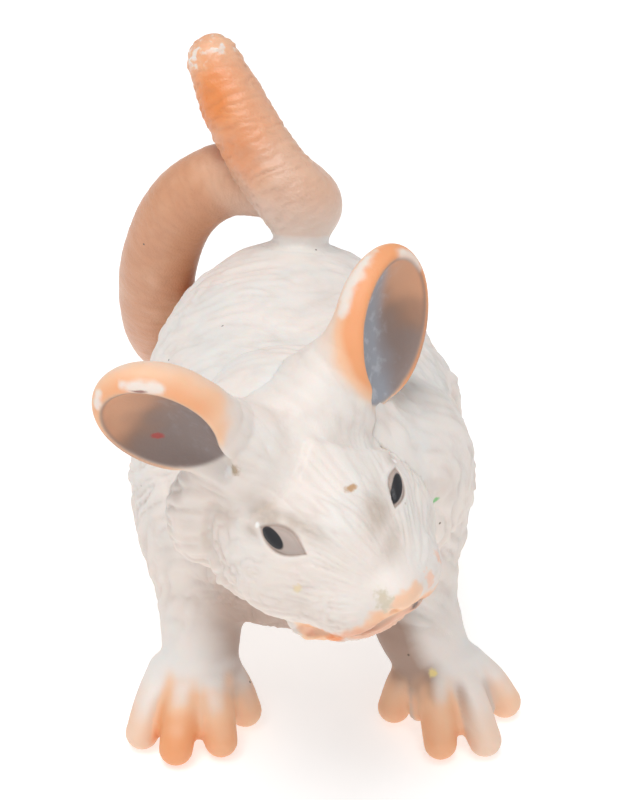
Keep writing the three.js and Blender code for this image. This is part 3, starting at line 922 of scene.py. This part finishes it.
def tail_material():
    paints = Paints("orange_tail", 0.34, 0.2)
    place = paints.attribute("place")
    patch = paints.grain(3.0)
    spot = paints.sum("ADD", place, paints.sum("MULTIPLY", paints.sum("SUBTRACT", patch, 0.5), 0.12))
    paints.lay((0.66, 0.33, 0.19), 1.0)
    paints.lay((0.72, 0.46, 0.34), paints.between(spot, 0.52, 0.68))
    paints.lay((0.84, 0.29, 0.09), paints.between(spot, 0.8, 0.93))
    paints.lay((0.90, 0.62, 0.43), paints.sum("MULTIPLY", paints.between(paints.grain(4.5, 2.0), 0.45, 0.75), 0.3))
    # Painted shade in the creases of the rings.
    paints.lay((0.45, 0.20, 0.11), paints.sum("MULTIPLY", paints.attribute("crease"), 0.18))
    # The front of the tail paler on one side.
    paints.lay((0.80, 0.50, 0.35), paints.sum("MULTIPLY", paints.attribute("paler_side"), 0.68))
    paints.lay(TAIL_TIP, paints.sum("MULTIPLY", paints.between(spot, 0.95, 1.05), 0.85))
    paints.lay(WORN, paints.sum("MULTIPLY", paints.between(spot, 0.99, 1.02), paints.between(paints.grain(0.9), 0.5, 0.6)))
    paints.lay((0.84, 0.69, 0.60), paints.between(paints.attribute("attached"), 0.0, 0.6))
    paints.lay(WHITE_WARM, paints.between(paints.attribute("attached"), 0.3, 0.75))
    paints.lay(DIRT, paints.specks(1.9, 0.05, 0.16, 5.0))
    paints.bump(paints.grain(0.2, 8.0), 0.06)
    return paints.finish()


def make_pieces():
    head_clay = Clay(HEAD_CENTRE - 16, HEAD_CENTRE + 20, 0.18)
    sculpt_head(head_clay)
    head = build("head_skin", head_clay, finish_head)
    head.data.materials.append(head_material())
    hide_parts("head_with_ears")

    torso_clay = Clay([-19, -24, 0], [19, 38, 38], 0.29)
    sculpt_torso(torso_clay)
    torso = build("torso_skin", torso_clay, finish_torso)
    torso.data.materials.append(torso_material())
    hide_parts("torso_with_legs")

    tail_clay = Clay([-20, 9, 4], [6, 41, 51], 0.22)
    sculpt_tail(tail_clay)
    tail = build("tail_skin", tail_clay, finish_tail)
    tail.data.materials.append(tail_material())
    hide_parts("tail")


# ---- camera, floor and light ----

CAMERA_ELEVATION = math.radians(32)
CAMERA_DISTANCE = 190.0
CAMERA_TARGET = np.array([0.0, 0.0, 25.0])
LENS = 102.6


def make_camera():
    data = bpy.data.cameras.new("camera")
    data.lens = LENS
    data.clip_start = 0.005
    camera = bpy.data.objects.new("camera", data)
    bpy.context.scene.collection.objects.link(camera)
    back = np.array([0.0, -math.cos(CAMERA_ELEVATION), math.sin(CAMERA_ELEVATION)])
    camera.location = (CAMERA_TARGET + SHIFT + back * CAMERA_DISTANCE) * MM
    camera.rotation_euler = (math.pi / 2 - CAMERA_ELEVATION, 0, 0)
    bpy.context.scene.camera = camera


def plain_material(name, colour):
    material = bpy.data.materials.new(name)
    material.use_nodes = True
    material.node_tree.nodes["Principled BSDF"].inputs["Base Color"].default_value = (*colour, 1)
    material.node_tree.nodes["Principled BSDF"].inputs["Roughness"].default_value = 0.5
    return material


def make_floor():
    mesh = bpy.data.meshes.new("floor")
    size = 1.5
    mesh.from_pydata([(-size, -size, 0), (size, -size, 0), (size, size, 0), (-size, size, 0)], [], [(0, 1, 2, 3)])
    floor = bpy.data.objects.new("floor", mesh)
    bpy.context.scene.collection.objects.link(floor)
    paper = plain_material("floor_paper", (0.72, 0.72, 0.72))
    paper.node_tree.nodes["Principled BSDF"].inputs["Emission Color"].default_value = (1, 1, 1, 1)
    paper.node_tree.nodes["Principled BSDF"].inputs["Emission Strength"].default_value = 0.5
    mesh.materials.append(paper)


def make_light(name, place, size, power, target=(0, 0, 0.02)):
    data = bpy.data.lights.new(name, "AREA")
    data.size = size
    data.energy = power
    light = bpy.data.objects.new(name, data)
    bpy.context.scene.collection.objects.link(light)
    light.location = place
    direction = np.array(target) - np.array(place)
    from mathutils import Vector
    light.rotation_euler = Vector(direction).to_track_quat("-Z", "Y").to_euler()


def make_lights():
    world = bpy.data.worlds.new("studio")
    world.use_nodes = True
    world.node_tree.nodes["Background"].inputs["Color"].default_value = (1, 1, 1, 1)
    world.node_tree.nodes["Background"].inputs["Strength"].default_value = 0.43
    bpy.context.scene.world = world
    make_light("key", (-0.08, -0.16, 0.72), 0.45, 3.3)
    make_light("fill", (0.1, -0.65, 0.3), 0.5, 0.4)
    bpy.context.scene.view_settings.view_transform = "Standard"


make_camera()
make_pieces()
make_floor()
make_lights()
